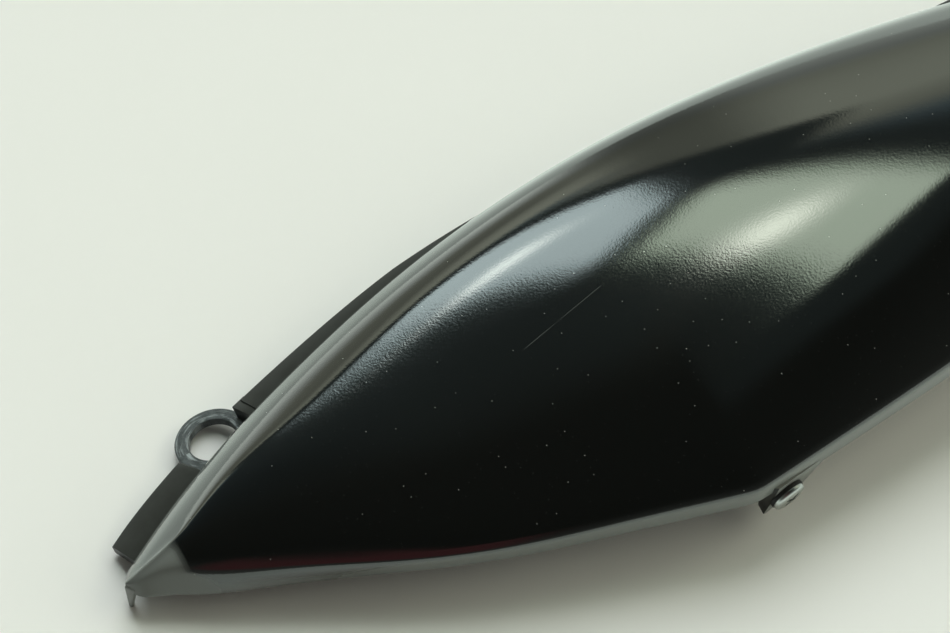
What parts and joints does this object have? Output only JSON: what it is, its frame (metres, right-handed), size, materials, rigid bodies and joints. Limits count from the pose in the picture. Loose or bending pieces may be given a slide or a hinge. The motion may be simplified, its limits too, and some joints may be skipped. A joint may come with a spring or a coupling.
{
  "type": "motorcycle side panel",
  "caption": "Long glossy moulded motorcycle side panel with a pointed nose, a flange with an eyelet, a screw tab and two rear pegs.",
  "frame": {"origin": "middle of the eyelet's hole, on its axis and halfway through the ring", "axes": "+X along the panel from the nose to the rear, +Y towards the long edge with the flange, +Z out of the painted face; the panel lies face up"},
  "size_m": [0.4209, 0.1262, 0.0498],
  "materials": {
    "black_panel": "gloss black with a fine orange peel",
    "plated_steel": "zinc plated",
    "black_rubber": "matte",
    "natural_nylon": "satin"
  },
  "bodies": {
    "root": {"side_panel": "black_panel", "mounting_screw": "plated_steel", "rubber_washer": "black_rubber", "retaining_washer": "natural_nylon"}
  },
  "joints": []
}
